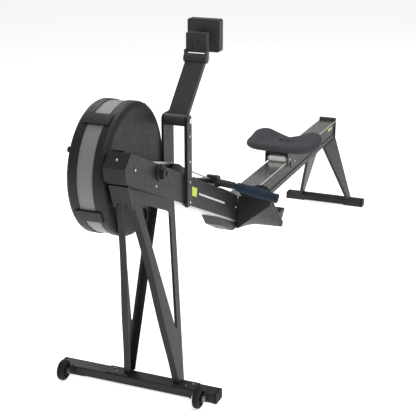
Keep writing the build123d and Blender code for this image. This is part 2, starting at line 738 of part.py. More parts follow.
def seat_axles():
    """Axles of the running rollers and stub pins of the keeper rollers."""
    axles = [rod_y(x, RAIL_TOP + ROLLER_RADIUS, -57, 57, 5) for x in ROLLER_X]
    middle = sum(ROLLER_X) / 2
    axles.append(rod_y(middle, keeper_height(), -57, -40, 4))
    axles.append(rod_y(middle, keeper_height(), 40, 57, 4))
    return axles


def seat_roller(x):
    """Wide running roller with narrower ends."""
    z = RAIL_TOP + ROLLER_RADIUS
    roller = rod_y(x, z, -ROLLER_HALF, ROLLER_HALF, ROLLER_RADIUS)
    roller += rod_y(x, z, -ROLLER_HALF - 9, ROLLER_HALF + 9, 9)
    return roller - rod_y(x, z, -60, 60, 5 + RUNNING_GAP)


def keeper_rollers():
    """Small rollers that stop the seat from lifting."""
    middle = sum(ROLLER_X) / 2
    rollers = []
    for side in (-1, 1):
        low, high = sorted((side * 40.5, side * 48))
        rollers.append(ring_y(middle, keeper_height(), low, high, LOWER_ROLLER_RADIUS, 4 + RUNNING_GAP))
    return rollers


def board_frame():
    """Unit vectors along the footboard, downwards, and out of its upper face."""
    dx = BOARD_BOTTOM[0] - BOARD_TOP[0]
    dz = BOARD_BOTTOM[1] - BOARD_TOP[1]
    length = hypot(dx, dz)
    return (dx / length, dz / length), (-dz / length, dx / length), length


def on_board(along, out):
    """Point at a distance down the footboard and out of its upper face, in X and Z."""
    (ux, uz), (nx, nz), _ = board_frame()
    return (BOARD_TOP[0] + ux * along + nx * out, BOARD_TOP[1] + uz * along + nz * out)


def footrest_support():
    """Near moulded wedge between the box and the footboard."""
    inner_face = [on_board(88, 0), on_board(163, -111), on_board(318, -17), on_board(328, 0)]
    outer_face = [on_board(100, 0), on_board(112, -12), on_board(318, -12), on_board(328, 0)]
    faces = []
    for y, points in ((-RAIL_HALF - 0.1, inner_face), (-BOARD_OUTER + 2, outer_face)):
        plane = Plane(origin=(0, y, 0), x_dir=(1, 0, 0), z_dir=(0, -1, 0))
        faces.append(plane * make_face(Polyline(*points, close=True)))
    return loft(faces, ruled=True)


def footboard():
    """Near inclined board."""
    _, _, length = board_frame()
    points = [on_board(0, 0.1), on_board(length - 2, 0.1), on_board(length - 2, BOARD_THICKNESS),
              on_board(0, BOARD_THICKNESS)]
    board = side_plate(points, -BOARD_OUTER, -BOARD_INNER)
    nx, nz = board_frame()[1]
    corners = board.edges().filter_by(lambda edge: abs(edge.tangent_at(0.5).dot(Vector(nx, 0, nz))) > 0.99)
    return fillet(corners, 16)


def heel_cup():
    """Near heel cup: a sole plate that slides on the board, with a curved heel wall."""
    floor = BOARD_THICKNESS + 0.4
    sole = side_plate([on_board(150, floor), on_board(318, floor), on_board(318, floor + 5),
                       on_board(150, floor + 5)], -162, -66)
    wall = side_plate([on_board(308, floor), on_board(318, floor), on_board(322, floor + 62),
                       on_board(312, floor + 62)], -162, -66)
    cheeks = None
    for y0, y1 in ((-162, -158), (-70, -66)):
        cheek = side_plate([on_board(255, floor), on_board(318, floor), on_board(322, floor + 62),
                            on_board(300, floor + 52)], y0, y1)
        cheeks = cheek if cheeks is None else cheeks + cheek
    return sole + wall + cheeks


def foot_strap():
    """Near strap: a band arched over the instep."""
    floor = BOARD_THICKNESS + 0.5
    centre_y = -(BOARD_INNER + BOARD_OUTER) / 2
    (ux, uz), (nx, nz), _ = board_frame()
    start_x, start_z = on_board(112, floor)
    plane = Plane(origin=(start_x, centre_y, start_z), x_dir=(0, 1, 0), z_dir=(ux, 0, uz))
    reach, rise = 56, 60
    outer = make_face([Line((-reach, 0), (reach, 0)), ThreePointArc((reach, 0), (0, rise), (-reach, 0))])
    inner = make_face([Line((-reach + 4, 0), (reach - 4, 0)),
                       ThreePointArc((reach - 4, 0), (0, rise - 4), (-reach + 4, 0))])
    side = 1 if plane.y_dir.dot(Vector(nx, 0, nz)) > 0 else -1
    if side < 0:
        outer = mirror(outer, about=Plane.XZ)
        inner = mirror(inner, about=Plane.XZ)
    return extrude(plane * outer, amount=38) - extrude(plane * inner, amount=38)


def rear_leg():
    """Near rear leg, wide under the rail and narrow at the foot."""
    top = Plane(origin=(0, 0, RAIL_BOTTOM)) * Pos(2057, -35) * Rectangle(206, 15)
    bottom = Plane(origin=(0, 0, FOOT_TOP)) * Pos(2153, -129) * Rectangle(50, 15)
    return loft([top, bottom], ruled=True)


def screws():
    """Screw heads on the nose, the side panels, the posts and the legs' base plates."""
    front = (-1, 0, 0.9)
    heads = [screw((-245, 0, 887.6), front)]
    near = (0, -1, 0)
    for x, z in ((-198, 847), (-51, 752), (683, 445)):
        heads.append(screw((x, -BOX_HALF, z), near))
    for z in (857, 766, 693, 620):
        heads.append(screw((POST_FRONT + 20, -BOX_HALF - POST_WIDTH, z), near))
    for side in (-1, 1):
        for x, y in ((-20, 152), (-38, 132)):
            heads.append(screw((x, side * y, FOOT_TOP + 4), (0, 0, 1), 4))
    return heads


LEG = near_leg()

pieces = {
    "front_foot": foot_tube(-FOOT_DEPTH, 0, FOOT_OFFSET, FOOT_LENGTH),
    "rear_foot": foot_tube(REAR_FOOT_FRONT, REAR_FOOT_FRONT + REAR_FOOT_DEPTH, 0, REAR_FOOT_LENGTH),
    "foot_end_caps": foot_caps(-FOOT_DEPTH, 0, FOOT_OFFSET, FOOT_LENGTH)
    + foot_caps(REAR_FOOT_FRONT, REAR_FOOT_FRONT + REAR_FOOT_DEPTH, 0, REAR_FOOT_LENGTH),
    "caster_brackets": [caster_bracket(y) for y in caster_places()],
    "caster_wheel_near": caster_wheel(caster_places()[0]),
    "caster_wheel_far": caster_wheel(caster_places()[1]),
    "caster_axles": [caster_axle(y) for y in caster_places()],
    "front_leg_near": LEG,
    "front_leg_far": mirrored(LEG),
    "leg_brace": leg_brace(),
    "screws": screws(),
    "nose_housing": nose_housing(),
    "nose_side_cover": nose_side_cover(),
    "axle_boss": axle_boss(),
    "cage_bracket": cage_bracket(),
    "main_beam": main_beam(),
    "side_panels": [side_panel(), mirrored(side_panel())],
    "handle_rest": [top_tongue(), handle_saddle()],
    "rail_bracket": rail_bracket(),
    "cage_near_cover": cage_near_cover(),
    "cage_screen": cage_screen(),
    "cage_far_cover": cage_far_cover(),
    "rim_clips": rim_clips(),
    "damper_ring": damper_ring(),
    "flywheel_fan": flywheel_fan(),
    "flywheel_axle": flywheel_axle(),
    "axle_bearings": axle_bearings(),
    "drive_sprocket": drive_sprocket(),
    "chain_guide": chain_guide(),
    "chain_idler": chain_idler(),
    "feed_chain": feed_chain(),
    "return_cord": return_cord(),
    "pull_chain": pull_chain(),
    "handle_core": handle_core(),
    "handle_grips": handle_grips(),
    "monitor_posts": [post_near(), post_far()],
    "arm_pivot_bolt": arm_pivot_bolt(),
    "monitor_arm": monitor_arm(),
    "monitor_hinge_pin": monitor_hinge_pin(),
    "monitor_bracket": monitor_bracket(),
    "monitor_housing": monitor_housing(),
    "monitor_screen": monitor_screen(),
    "rail_beam": rail_beam(),
    "rail_track": rail_track(),
    "rail_stops": [rail_end_stop(), rail_front_stop()],
    "seat_pad": seat_pad(),
    "seat_carriage": seat_carriage(),
    "seat_axles": seat_axles(),
    "seat_roller_front": seat_roller(ROLLER_X[0]),
    "seat_roller_rear": seat_roller(ROLLER_X[1]),
    "keeper_rollers": keeper_rollers(),
    "footrest_supports": [footrest_support(), mirrored(footrest_support())],
    "footboards": [footboard(), mirrored(footboard())],
    "heel_cup_near": heel_cup(),
    "heel_cup_far": mirrored(heel_cup()),
    "foot_straps": [foot_strap(), mirrored(foot_strap())],
    "rear_legs": [rear_leg(), mirrored(rear_leg())],
}
for number, height in enumerate(button_places(), start=1):
    pieces[f"monitor_button_{number}"] = monitor_button(height)

shapes = {name: Compound(made) if isinstance(made, list) else made for name, made in pieces.items()}
boxes = [shape.bounding_box() for shape in shapes.values()]
low = Vector(min(b.min.X for b in boxes), min(b.min.Y for b in boxes), min(b.min.Z for b in boxes))
high = Vector(max(b.max.X for b in boxes), max(b.max.Y for b in boxes), max(b.max.Z for b in boxes))
to_row = Pos(-(low.X + high.X) / 2, -(low.Y + high.Y) / 2, -low.Z)
print("shift", tuple(round(value, 3) for value in to_row.position))
print("size", tuple(round(value, 1) for value in high - low), "nodes", len(shapes))

os.makedirs("parts", exist_ok=True)
for name, shape in shapes.items():
    export_step(to_row * shape, f"parts/{name}.step")
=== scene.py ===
import math
import bpy
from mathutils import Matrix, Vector


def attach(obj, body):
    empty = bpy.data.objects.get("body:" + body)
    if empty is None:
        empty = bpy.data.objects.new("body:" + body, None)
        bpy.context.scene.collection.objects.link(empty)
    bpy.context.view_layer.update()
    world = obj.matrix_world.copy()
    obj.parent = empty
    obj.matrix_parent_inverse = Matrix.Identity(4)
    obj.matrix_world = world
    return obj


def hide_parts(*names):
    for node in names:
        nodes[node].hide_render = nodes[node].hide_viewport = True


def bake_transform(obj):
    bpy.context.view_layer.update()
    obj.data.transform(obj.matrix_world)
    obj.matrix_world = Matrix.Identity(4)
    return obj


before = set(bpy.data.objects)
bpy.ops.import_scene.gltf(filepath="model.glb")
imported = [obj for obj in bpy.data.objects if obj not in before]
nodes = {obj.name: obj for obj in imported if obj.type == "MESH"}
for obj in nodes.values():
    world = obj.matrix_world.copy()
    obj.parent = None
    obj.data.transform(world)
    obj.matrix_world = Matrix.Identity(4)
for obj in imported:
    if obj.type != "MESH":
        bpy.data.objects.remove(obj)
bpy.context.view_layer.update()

# The frame's X runs from the fan to the tail. at() takes the machine's own millimetres,
# measured from the front foot's rear edge, the rail's middle plane and the floor.
ORIGIN_X = 957.5
ORIGIN_Y = 54.0
SLOPE = math.radians(24.4)
AXLE = (-22.0, 790.0)


def at(x, y, z):
    return Vector(((x - ORIGIN_X) / 1000, (y - ORIGIN_Y) / 1000, z / 1000))


def box_top(x):
    return 807.0 - math.tan(SLOPE) * x


# Materials


class Paint:
    """A Principled material with a few procedural layers."""

    def __init__(self, name, colour, roughness, metallic=0.0):
        self.material = bpy.data.materials.new(name)
        self.material.use_nodes = True
        self.tree = self.material.node_tree
        self.shader = self.tree.nodes["Principled BSDF"]
        self.colour = (*colour, 1.0)
        self.shader.inputs["Base Color"].default_value = self.colour
        self.shader.inputs["Roughness"].default_value = roughness
        self.shader.inputs["Metallic"].default_value = metallic
        self.roughness = roughness
        self.bump = None
        self.coordinate = self.node("ShaderNodeTexCoord").outputs["Object"]

    def node(self, kind, **settings):
        made = self.tree.nodes.new(kind)
        for key, value in settings.items():
            setattr(made, key, value)
        return made

    def link(self, a, b):
        self.tree.links.new(a, b)

    def noise(self, scale, detail=4.0, stretch=(1, 1, 1)):
        mapping = self.node("ShaderNodeMapping")
        mapping.inputs["Scale"].default_value = stretch
        self.link(self.coordinate, mapping.inputs["Vector"])
        noise = self.node("ShaderNodeTexNoise")
        noise.inputs["Scale"].default_value = scale
        noise.inputs["Detail"].default_value = detail
        self.link(mapping.outputs["Vector"], noise.inputs["Vector"])
        return noise.outputs["Fac"]

    def ramp(self, value, low, high, a, b):
        ramp = self.node("ShaderNodeMapRange")
        ramp.inputs["From Min"].default_value = low
        ramp.inputs["From Max"].default_value = high
        ramp.inputs["To Min"].default_value = a
        ramp.inputs["To Max"].default_value = b
        self.link(value, ramp.inputs["Value"])
        return ramp.outputs["Result"]

    def shade(self, value, amount):
        """Lets a texture lighten and darken the colour by a share."""
        mix = self.node("ShaderNodeMix", data_type="RGBA")
        mix.inputs["A"].default_value = (*[c * (1 - amount) for c in self.colour[:3]], 1)
        mix.inputs["B"].default_value = (*[min(1, c * (1 + amount)) for c in self.colour[:3]], 1)
        self.link(self.ramp(value, 0.3, 0.7, 0, 1), mix.inputs["Factor"])
        self.link(mix.outputs["Result"], self.shader.inputs["Base Color"])
        return self

    def rough(self, value, spread):
        self.link(self.ramp(value, 0.3, 0.7, self.roughness - spread, self.roughness + spread),
                  self.shader.inputs["Roughness"])
        return self

    def raise_by(self, value, distance, strength=1.0):
        bump = self.node("ShaderNodeBump")
        bump.inputs["Strength"].default_value = strength
        bump.inputs["Distance"].default_value = distance
        self.link(value, bump.inputs["Height"])
        if self.bump:
            self.link(self.bump.outputs["Normal"], bump.inputs["Normal"])
        self.link(bump.outputs["Normal"], self.shader.inputs["Normal"])
        self.bump = bump
        return self

    def paint_edge_highlight(self, colour, amount=0.5):
        """Shows a paler colour along sharp edges, as a painted highlight where rounded edges would catch
        light.
        """
        geometry = self.node("ShaderNodeNewGeometry")
        edge = self.ramp(geometry.outputs["Pointiness"], 0.53, 0.62, 0, amount)
        mix = self.node("ShaderNodeMix", data_type="RGBA")
        source = self.shader.inputs["Base Color"]
        mix.inputs["A"].default_value = self.colour
        if source.is_linked:
            self.link(source.links[0].from_socket, mix.inputs["A"])
        mix.inputs["B"].default_value = (*colour, 1)
        self.link(edge, mix.inputs["Factor"])
        self.link(mix.outputs["Result"], source)
        return self


def powder_coat(name, colour, roughness=0.36):
    paint = Paint(name, colour, roughness)
    paint.shade(paint.noise(9, 3), 0.10).rough(paint.noise(60, 4), 0.05)
    paint.raise_by(paint.noise(900, 2), 0.00008, 0.5).raise_by(paint.noise(170, 2), 0.00010, 0.25)
    paint.shader.inputs["Specular IOR Level"].default_value = 0.24
    # Paler sharp edges: painted edge highlight.
    return paint.paint_edge_highlight([min(1, c * 2.2) for c in colour], 0.35).material


def plastic(name, colour, roughness=0.5, grain=700):
    paint = Paint(name, colour, roughness)
    paint.shade(paint.noise(14, 3), 0.08).rough(paint.noise(80, 4), 0.07)
    paint.raise_by(paint.noise(grain, 3), 0.00012, 0.55)
    paint.shader.inputs["Specular IOR Level"].default_value = 0.26
    # Paler sharp edges: painted edge highlight.
    return paint.paint_edge_highlight([min(1, c * 1.9) for c in colour], 0.3).material


def rubber(name, colour, roughness=0.72):
    paint = Paint(name, colour, roughness)
    paint.shade(paint.noise(30, 5), 0.18).rough(paint.noise(120, 5), 0.08)
    paint.raise_by(paint.noise(450, 5), 0.00020, 0.6)
    paint.shader.inputs["Specular IOR Level"].default_value = 0.2
    # Paler sharp edges: painted edge highlight.
    return paint.paint_edge_highlight([min(1, c * 2.0) for c in colour], 0.3).material


def metal(name, colour, roughness, stretch=(1, 1, 1), scale=300):
    paint = Paint(name, colour, roughness, 1.0)
    grain = paint.noise(scale, 6, stretch)
    paint.shade(paint.noise(12, 3), 0.06).rough(grain, min(0.08, roughness * 0.5))
    paint.raise_by(grain, 0.00005, 0.35)
    return paint.material


M = {
    "coat": powder_coat("satin_powder_coat", (0.014, 0.015, 0.017), 0.42),
    "panel": powder_coat("panel_coat", (0.011, 0.012, 0.014), 0.46),
    "cage": plastic("cage_moulding", (0.016, 0.017, 0.018), 0.48),
    "plastic": plastic("black_moulding", (0.014, 0.015, 0.016), 0.5),
    "grey": plastic("charcoal_moulding", (0.030, 0.031, 0.033), 0.46),
    "rail": powder_coat("black_anodised", (0.010, 0.011, 0.013), 0.44),
    "stainless": metal("brushed_stainless", (0.60, 0.59, 0.56), 0.27, (0.02, 1, 1), 650),
    "anodised": metal("satin_anodised", (0.50, 0.51, 0.53), 0.33, (0.03, 1, 1), 500),
    "steel": metal("bright_steel", (0.62, 0.62, 0.63), 0.22, (1, 1, 1), 500),
    "chain": metal("nickel_chain", (0.42, 0.42, 0.42), 0.30, (1, 1, 1), 900),
    "cast": metal("machined_wheel", (0.30, 0.30, 0.31), 0.42, (1, 1, 1), 250),
    "rubber": rubber("black_rubber", (0.013, 0.013, 0.014)),
    "navy": rubber("navy_grip", (0.011, 0.023, 0.042), 0.68),
    "white": plastic("white_roller", (0.70, 0.70, 0.68), 0.35, 500),
    "cord": rubber("elastic_cord", (0.02, 0.02, 0.022), 0.8),
}


def seat_material():
    paint = Paint("seat_skin", (0.046, 0.048, 0.053), 0.72)
    paint.shade(paint.noise(22, 5), 0.10).rough(paint.noise(90, 4), 0.06)
    cells = paint.node("ShaderNodeTexVoronoi", feature="DISTANCE_TO_EDGE")
    cells.inputs["Scale"].default_value = 520
    paint.link(paint.coordinate, cells.inputs["Vector"])
    paint.raise_by(cells.outputs["Distance"], 0.00025, 0.5).raise_by(paint.noise(60, 3), 0.0002, 0.25)
    paint.shader.inputs["Specular IOR Level"].default_value = 0.25
    return paint.material


def webbing_material():
    paint = Paint("strap_webbing", (0.016, 0.017, 0.019), 0.85)
    uv = paint.node("ShaderNodeTexCoord").outputs["UV"]
    waves = []
    for direction in ("X", "Y"):
        wave = paint.node("ShaderNodeTexWave", wave_type="BANDS", bands_direction=direction)
        wave.inputs["Scale"].default_value = 160
        paint.link(uv, wave.inputs["Vector"])
        waves.append(wave.outputs["Fac"])
    weave = paint.node("ShaderNodeMath", operation="MULTIPLY")
    paint.link(waves[0], weave.inputs[0])
    paint.link(waves[1], weave.inputs[1])
    paint.shade(weave.outputs[0], 0.35).raise_by(weave.outputs[0], 0.0006, 0.8)
    paint.shader.inputs["Sheen Weight"].default_value = 0.3
    return paint.material


def perforated_material():
    """Painted band with staggered round holes, drawn near-black as painted shade of the cage interior: the
    UV map is in units of one hole's pitch.
    """
    paint = Paint("perforated_band", (0.30, 0.31, 0.32), 0.38)
    uv = paint.node("ShaderNodeTexCoord").outputs["UV"]
    nearest = None
    for shift in (0.0, 0.5):
        moved = paint.node("ShaderNodeVectorMath", operation="ADD")
        moved.inputs[1].default_value = (shift, shift, 0)
        paint.link(uv, moved.inputs[0])
        cell = paint.node("ShaderNodeVectorMath", operation="FRACTION")
        paint.link(moved.outputs[0], cell.inputs[0])
        centre = paint.node("ShaderNodeVectorMath", operation="DISTANCE")
        centre.inputs[1].default_value = (0.5, 0.5, 0)
        paint.link(cell.outputs[0], centre.inputs[0])
        distance = centre.outputs["Value"]
        if nearest is None:
            nearest = distance
        else:
            least = paint.node("ShaderNodeMath", operation="MINIMUM")
            paint.link(nearest, least.inputs[0])
            paint.link(distance, least.inputs[1])
            nearest = least.outputs[0]
    solid = paint.ramp(nearest, 0.21, 0.27, 0, 1)
    mix = paint.node("ShaderNodeMix", data_type="RGBA")
    # The holes' near-black colour is painted shade of the cage interior seen through them.
    mix.inputs["A"].default_value = (0.035, 0.036, 0.038, 1)
    mix.inputs["B"].default_value = paint.colour
    paint.link(solid, mix.inputs["Factor"])
    paint.link(mix.outputs["Result"], paint.shader.inputs["Base Color"])
    paint.raise_by(solid, 0.0006, 0.7)
    return paint.material


def glass_material():
    paint = Paint("display_window", (0.16, 0.19, 0.16), 0.12)
    paint.shade(paint.noise(18, 3), 0.06).rough(paint.noise(60, 3), 0.03)
    paint.shader.inputs["Coat Weight"].default_value = 0.8
    return paint.material


def mark_material(name, colour):
    paint = Paint(name, colour, 0.4)
    paint.shade(paint.noise(70, 4), 0.06).raise_by(paint.noise(600, 2), 0.00005, 0.3)
    return paint.material


M["seat"] = seat_material()
M["webbing"] = webbing_material()
M["screen"] = perforated_material()
M["glass"] = glass_material()
M["accent"] = mark_material("lime_mark", (0.52, 0.68, 0.04))
M["pale"] = mark_material("pale_mark", (0.62, 0.63, 0.64))

finish_of = {
    "coat": "front_foot rear_foot caster_brackets front_leg_near front_leg_far leg_brace nose_housing "
            "cage_bracket rail_bracket monitor_posts seat_carriage rear_legs",
    "panel": "nose_side_cover side_panels",
    "cage": "cage_near_cover cage_far_cover rim_clips",
    "plastic": "axle_boss chain_guide handle_core footrest_supports footboards heel_cup_near heel_cup_far "
               "damper_ring",
    "grey": "monitor_arm monitor_bracket monitor_housing rail_stops",
    "rail": "rail_beam",
    "stainless": "rail_track",
    "anodised": "main_beam handle_rest",
    "steel": "caster_axles axle_bearings flywheel_axle drive_sprocket arm_pivot_bolt monitor_hinge_pin "
             "seat_axles",
    "chain": "feed_chain",
    "cast": "flywheel_fan",
    "rubber": "foot_end_caps caster_wheel_near caster_wheel_far monitor_button_1 monitor_button_2 "
              "monitor_button_3",
    "white": "chain_idler seat_roller_front seat_roller_rear keeper_rollers",
    "cord": "return_cord",
    "glass": "monitor_screen",
}
for finish, names in finish_of.items():
    for name in names.split():
        mesh = nodes[name].data
        if not mesh.materials:
            mesh.materials.append(M[finish])
        for index in range(len(mesh.materials)):
            mesh.materials[index] = M[finish]


# Mesh helpers


def piece(name, verts, faces, finish, body, replaces=(), slot=None, smooth=True, uvs=None):
    mesh = bpy.data.meshes.new(name)
    mesh.from_pydata([tuple(v) for v in verts], [], faces)
    mesh.validate()
    mesh.materials.append(M[finish])
    if uvs:
        layer = mesh.uv_layers.new(name="UVMap")
        for loop in mesh.loops:
            layer.data[loop.index].uv = uvs[loop.vertex_index]
    mesh.polygons.foreach_set("use_smooth", [smooth] * len(mesh.polygons))
    made = bpy.data.objects.new(name, mesh)
    bpy.context.scene.collection.objects.link(made)
    if body:
        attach(made, body)
    if replaces:
        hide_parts(*replaces)
    return made


def loft(rings, closed=True, caps=True):
    """Faces between rings of equal length, and the vertices in order."""
    count = len(rings[0])
    verts = [v for ring in rings for v in ring]
    faces = []
    for i in range(len(rings) - 1):
        for j in range(count if closed else count - 1):
            k = (j + 1) % count
            faces.append((i * count + j, i * count + k, (i + 1) * count + k, (i + 1) * count + j))
    if caps:
        faces.append(tuple(reversed(range(count))))
        faces.append(tuple(range((len(rings) - 1) * count, len(rings) * count)))
    return verts, faces


def turned(origin, axis, profile, segments=48):
    """Rings of a turned shape: profile holds (distance along the axis, radius) in millimetres."""
    axis = Vector(axis).normalized()
    side = axis.orthogonal().normalized()
    other = axis.cross(side)
    rings = []
    for along, radius in profile:
        centre = origin + axis * (along / 1000)
        rings.append([centre + (side * math.cos(a) + other * math.sin(a)) * (radius / 1000)
                      for a in (2 * math.pi * n / segments for n in range(segments))])
    return loft(rings)


def join(parts):
    verts, faces = [], []
    for part_verts, part_faces in parts:
        offset = len(verts)
        verts += part_verts
        faces += [tuple(i + offset for i in face) for face in part_faces]
    return verts, faces


def smooth_step(value, low, high):
    t = max(0.0, min(1.0, (value - low) / (high - low)))
    return t * t * (3 - 2 * t)


# Seat: moulded pad with two sit-bone hollows, raised rear corners and a tail notch

SEAT_CENTRE = 1408.0
SEAT_REACH = 110.0
SEAT_MIDDLE = 1405.0
SEAT_HALF = 168.0
SEAT_TOP_SHARE = 0.965
SEAT_UNDERSIDE = 500.2


def seat_top(x, y):
    front_back = (x - SEAT_CENTRE) / SEAT_REACH
    side = abs(y) / SEAT_HALF
    z = 533.0 + 23.0 * smooth_step(front_back, -0.1, 0.85) * smooth_step(side, 0.18, 0.65)
    z += 6.0 * smooth_step(side, 0.45, 0.9)
    z -= 8.0 * math.exp(-((side - 0.38) / 0.2) ** 2 - (front_back / 0.5) ** 2)
    return z - 7.0 * math.exp(-(y / 24.0) ** 2) * smooth_step(front_back, -0.2, 1.0)


def seat_edge(angle):
    c, s = math.cos(angle), math.sin(angle)
    power = 2 / 3.4
    x = SEAT_CENTRE + SEAT_REACH * math.copysign(abs(c) ** power, c)
    y = SEAT_HALF * math.copysign(abs(s) ** power, s)
    if x > SEAT_CENTRE:
        x -= 20 * math.exp(-(y / 30.0) ** 2)
    return x, y


def make_seat():
    around, steps = 144, 26
    rings = []
    for step in range(3, steps + 1):
        r = (step / steps) ** 0.85
        ring = []
        for n in range(around):
            ex, ey = seat_edge(2 * math.pi * n / around)
            x, y = SEAT_MIDDLE + (ex - SEAT_MIDDLE) * r * SEAT_TOP_SHARE, ey * r * SEAT_TOP_SHARE
            drop = 6.0 * smooth_step(r, 0.90, 1.0) ** 2
            ring.append(at(x, y, seat_top(x, y) - drop))
        rings.append(ring)
    for share, below in ((0.990, 12), (1.0, 15), (1.0, 27), (0.988, 29), (0.984, 31)):
        ring = []
        for n in range(around):
            ex, ey = seat_edge(2 * math.pi * n / around)
            x, y = SEAT_MIDDLE + (ex - SEAT_MIDDLE) * share, ey * share
            top = seat_top(SEAT_MIDDLE + (ex - SEAT_MIDDLE) * SEAT_TOP_SHARE, ey * SEAT_TOP_SHARE)
            ring.append(at(x, y, max(503.0, top - below)))
        rings.append(ring)
    for share, z in ((0.93, 501.0), (0.55, SEAT_UNDERSIDE)):
        ring = []
        for n in range(around):
            ex, ey = seat_edge(2 * math.pi * n / around)
            ring.append(at(SEAT_MIDDLE + (ex - SEAT_MIDDLE) * share, ey * share, z))
        rings.append(ring)
    verts, faces = loft(rings, caps=False)
    centre = len(verts)
    verts.append(at(SEAT_MIDDLE, 0, seat_top(SEAT_MIDDLE, 0)))
    faces += [(centre, n, (n + 1) % around) for n in range(around)]
    base = len(verts)
    verts.append(at(SEAT_MIDDLE, 0, SEAT_UNDERSIDE))
    last = (len(rings) - 1) * around
    faces += [(base, last + (n + 1) % around, last + n) for n in range(around)]
    seat = piece("seat_cushion", verts, faces, "seat", "seat", ["seat_pad"], "seat_foam")
    return seat


make_seat()

# Handle: ribbed grips with end caps

GRIP_START = (555.0, 75.0, 577.0)
GRIP_END = (606.0, 236.0, 529.0)
for label, side in (("near", -1), ("far", 1)):
    start = at(GRIP_START[0], side * GRIP_START[1], GRIP_START[2])
    end = at(GRIP_END[0], side * GRIP_END[1], GRIP_END[2])
    length = (end - start).length * 1000
    profile = [(13, 11.2), (13, 15.5), (15, 17.4)]
    ribs = 34
    for n in range(ribs):
        along = 17 + (length - 30) * n / ribs
        swell = 17.0 + 1.0 * math.sin(math.pi * n / ribs)
        profile += [(along, swell), (along + 1.1, swell - 0.45), (along + 2.2, swell)]
    profile += [(length - 11, 17.0), (length - 10, 11.2)]
    piece(f"grip_{label}", *turned(start, end - start, profile), "navy", "handle", ["handle_grips"],
          "navy_rubber")
    cap = [(length - 10, 11.2), (length - 10, 17.6), (length - 8, 18.3), (length - 1, 18.3),
           (length + 2, 17.0), (length + 3.6, 13.5), (length + 4, 8)]
    piece(f"grip_cap_{label}", *turned(start, end - start, cap), "plastic", "handle", (), "black_plastic")

# Chain from the guide to the handle: plates and rollers

CHAIN_START, CHAIN_END = 250.0, 501.0
PITCH = 6.35


def make_chain():
    direction = Vector((math.cos(SLOPE), 0, -math.sin(SLOPE)))
    up = Vector((math.sin(SLOPE), 0, math.cos(SLOPE)))
    across = Vector((0, 1, 0))
    origin = at(CHAIN_START, 0, box_top(CHAIN_START) + 31)
    count = int((CHAIN_END - CHAIN_START) / math.cos(SLOPE) / PITCH)
    parts = []
    for n in range(count + 1):
        pin = origin + direction * (n * PITCH / 1000)
        roller = [(0, 0.9), (0.4, 0.9), (0.5, 1.65), (7.3, 1.65), (7.4, 0.9), (7.8, 0.9)]
        parts.append(turned(pin - across * 0.0039, across, roller, 12))
        if n == count:
            continue
        offset = 3.5 if n % 2 else 2.6
        for side in (-1, 1):
            outline = []
            for k in range(20):
                a = 2 * math.pi * k / 20
                waist = 2.9 - 0.55 * math.sin(a) ** 2
                hand = 1 if math.cos(a) >= 0 else -1
                along = PITCH / 2 + (PITCH / 2) * hand * min(1, abs(math.cos(a)) * 3)
                along += 2.6 * math.cos(a)
                outline.append((along, waist * math.sin(a)))
            rings = []
            for depth in (side * offset - 0.35, side * offset + 0.35):
                rings.append([pin + direction * (a / 1000) + up * (b / 1000) + across * (depth / 1000)
                              for a, b in outline])
            parts.append(loft(rings))
    chain = piece("handle_chain", *join(parts), "chain", None, ["pull_chain"], "chain_steel", smooth=False)
    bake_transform(chain)


make_chain()

# Fan cage's perforated band, with its holes in a UV map


def make_screen():
    around = 240
    outer, thick = 220.1, 1.4
    section = [(78, outer), (153, outer), (153, outer - thick), (78, outer - thick)]
    verts, uvs = [], []
    for n in range(around + 1):
        a = 2 * math.pi * n / around
        for y, r in section:
            verts.append(at(AXLE[0] + r * math.cos(a), y, AXLE[1] + r * math.sin(a)))
            uvs.append((round(2 * math.pi * outer / 6.0) * n / around, y / 6.0))
    faces = []
    for n in range(around):
        for k in range(4):
            m = (k + 1) % 4
            faces.append((n * 4 + k, n * 4 + m, (n + 1) * 4 + m, (n + 1) * 4 + k))
    band = piece("perforated_band", verts, faces, "screen", "frame", ["cage_screen"], "grey_band", uvs=uvs)
    for edge in band.data.edges:
        edge.use_edge_sharp = edge.vertices[0] // 4 != edge.vertices[1] // 4
    return band


make_screen()

# Footrest straps: flat webbing over the instep with a cam buckle at the outer side

BOARD_TOP = (650.0, 543.0)
BOARD_BOTTOM = (890.0, 315.0)
board_length = math.dist(BOARD_TOP, BOARD_BOTTOM)
down = ((BOARD_BOTTOM[0] - BOARD_TOP[0]) / board_length, (BOARD_BOTTOM[1] - BOARD_TOP[1]) / board_length)
out = (-down[1], down[0])


def on_board(along, y, lift):
    x = BOARD_TOP[0] + down[0] * along + out[0] * lift
    z = BOARD_TOP[1] + down[1] * along + out[1] * lift
    return at(x, y, z)


def make_strap(label, side):
    middle = side * 111.0
    rings, uvs = [], []
    steps = 40
    for n in range(steps + 1):
        a = math.pi * n / steps
        reach = 54.5 * math.cos(a)
        rise = 11.0 + 56.5 * math.sin(a) ** 0.8
        bulge = 1.5 * math.sin(3 * a)
        tilt = 4.0 * math.sin(a)
        ring = []
        for along, thick in ((112 - tilt, 0), (131 - tilt, 0.5), (150 - tilt, 0), (150 - tilt, -2.2),
                             (131 - tilt, -1.7), (112 - tilt, -2.2)):
            ring.append(on_board(along, middle + reach + bulge, rise + thick))
            uvs.append((along / 60, n / steps * 2.6))
        rings.append(ring)
    verts, faces = loft(rings)
    piece(f"strap_{label}", verts, faces, "webbing", "frame", ["foot_straps"], "strap_webbing", uvs=uvs)
    outer = middle + side * 56
    rings = []
    for lift, grow in ((12, -2), (14, 0), (32, 0), (34, -2)):
        ring = []
        for k in range(24):
            a = 2 * math.pi * k / 24
            c, s = math.cos(a), math.sin(a)
            ring.append(on_board(131 + (23 + grow) * math.copysign(abs(c) ** 0.5, c),
                                 outer + (4.5 + grow * 0.6) * math.copysign(abs(s) ** 0.5, s), lift))
        rings.append(ring)
    piece(f"strap_buckle_{label}", *loft(rings), "plastic", "frame", (), "black_plastic")


make_strap("near", -1)
make_strap("far", 1)

# Screws: pan heads with hexagon sockets


